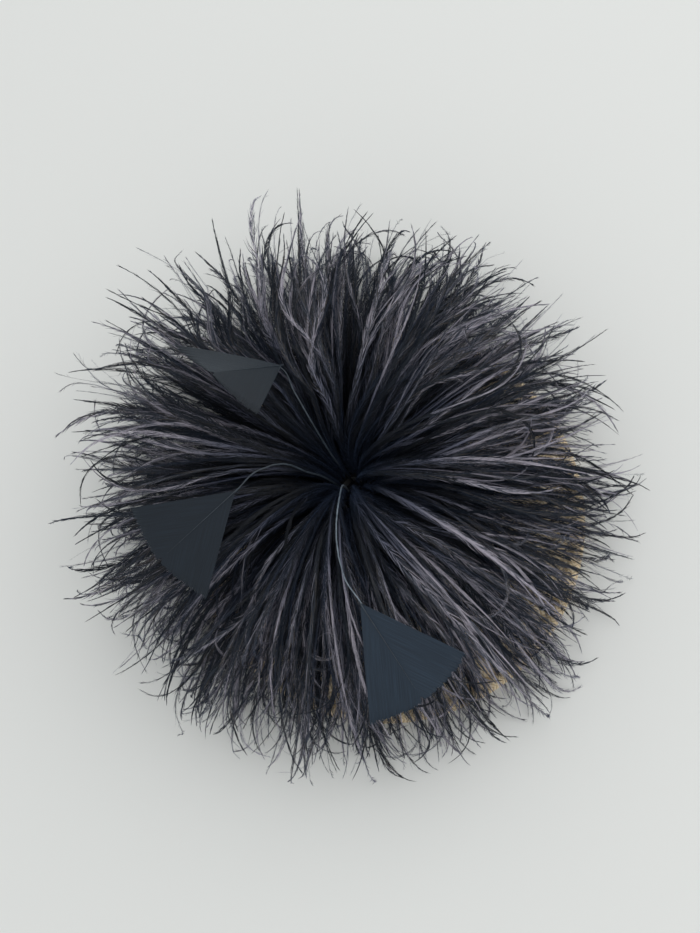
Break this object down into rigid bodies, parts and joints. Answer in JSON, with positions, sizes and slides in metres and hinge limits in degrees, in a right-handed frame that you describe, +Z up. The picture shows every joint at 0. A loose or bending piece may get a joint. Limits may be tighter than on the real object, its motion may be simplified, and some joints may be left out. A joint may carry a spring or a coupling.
{
  "type": "feather pouf headpiece",
  "caption": "Round black ostrich-feather pouf with arrow-cut quill feathers on a straw disc base, worn by a sprung clip or a brooch pin underneath.",
  "frame": {"origin": "on the surface it stands on, under the pouf's axis, which is the middle of its outline", "axes": "+Z up out of the pouf, +X towards the tip of the clip's jaws and of the brooch pin, +Y across them, the clip on the +Y side of the brooch"},
  "size_m": [0.2196, 0.2196, 0.1214],
  "materials": {
    "straw": "matte",
    "straw_braid": "matte",
    "wire": "satin",
    "satin": "satin",
    "felt": "matte",
    "tape": "matte",
    "thread": "matte",
    "ostrich_flue": "matte",
    "goose_vane": "matte",
    "quill": "satin",
    "nickel_steel": "polished",
    "spring_steel": "satin"
  },
  "bodies": {
    "headpiece": {"straw_base": "straw", "edge_binding": "straw_braid", "brim_wire": "wire", "satin_lining": "satin", "mount_pad": "felt", "feather_seat": "felt", "core_tape": "tape", "thread_binding": "thread", "clip_upper_jaw": "nickel_steel", "clip_hinge_pin": "nickel_steel", "clip_spring": "spring_steel", "brooch_bar": "nickel_steel", "brooch_rivet": "nickel_steel", "bar_stitch_1": "thread", "bar_stitch_2": "thread", "upper_flues_1": "ostrich_flue", "upper_flues_2": "ostrich_flue", "upper_flues_3": "ostrich_flue", "upper_flues_4": "ostrich_flue", "upper_flues_5": "ostrich_flue", "upper_flues_6": "ostrich_flue", "upper_flues_7": "ostrich_flue", "upper_flues_8": "ostrich_flue", "middle_flues_1": "ostrich_flue", "middle_flues_2": "ostrich_flue", "middle_flues_3": "ostrich_flue", "middle_flues_4": "ostrich_flue", "middle_flues_5": "ostrich_flue", "middle_flues_6": "ostrich_flue", "middle_flues_7": "ostrich_flue", "middle_flues_8": "ostrich_flue", "lower_flues_1": "ostrich_flue", "lower_flues_2": "ostrich_flue", "lower_flues_3": "ostrich_flue", "lower_flues_4": "ostrich_flue", "lower_flues_5": "ostrich_flue", "lower_flues_6": "ostrich_flue", "lower_flues_7": "ostrich_flue", "lower_flues_8": "ostrich_flue"},
    "clip_jaw": {"clip_lower_jaw": "nickel_steel"},
    "brooch_pin": {"brooch_stem": "spring_steel"},
    "safety_catch": {"catch_sleeve": "nickel_steel"},
    "arrow_1": {"arrow_vane_1": "goose_vane", "arrow_quill_1": "quill"},
    "arrow_2": {"arrow_vane_2": "goose_vane", "arrow_quill_2": "quill"},
    "arrow_3": {"arrow_vane_3": "goose_vane", "arrow_quill_3": "quill"}
  },
  "joints": [
    {"name": "clip_open", "type": "hinge", "parent": "headpiece", "child": "clip_jaw", "pos_m": [-0.002, 0, 0.0075], "axis": [0, 1, 0], "range_deg": [0, 26], "stiffness_Nm_per_rad": 0.05, "springref_deg": -17.19, "deforming": ["clip_spring"]},
    {"name": "pin_open", "type": "hinge", "parent": "headpiece", "child": "brooch_pin", "pos_m": [-0.008, -0.02, 0.0068], "axis": [0, 1, 0], "range_deg": [0, 80]},
    {"name": "catch_turn", "type": "hinge", "parent": "headpiece", "child": "safety_catch", "pos_m": [0.022, -0.02, 0.0068], "axis": [1, 0, 0], "range_deg": [0, 150]},
    {"name": "arrow_1_sway", "type": "hinge", "parent": "headpiece", "child": "arrow_1", "pos_m": [0.00124, -0.00496, 0.0203], "axis": [-0.9703, -0.2419, 0], "range_deg": [-2, 6], "stiffness_Nm_per_rad": 0.01},
    {"name": "arrow_2_sway", "type": "hinge", "parent": "headpiece", "child": "arrow_2", "pos_m": [-0.00399, -0.00212, 0.0203], "axis": [-0.4695, 0.8829, 0], "range_deg": [-2, 6], "stiffness_Nm_per_rad": 0.01},
    {"name": "arrow_3_sway", "type": "hinge", "parent": "headpiece", "child": "arrow_3", "pos_m": [-0.00167, 0.00342, 0.0203], "axis": [0.8988, 0.4384, 0], "range_deg": [-2, 6], "stiffness_Nm_per_rad": 0.01}
  ]
}
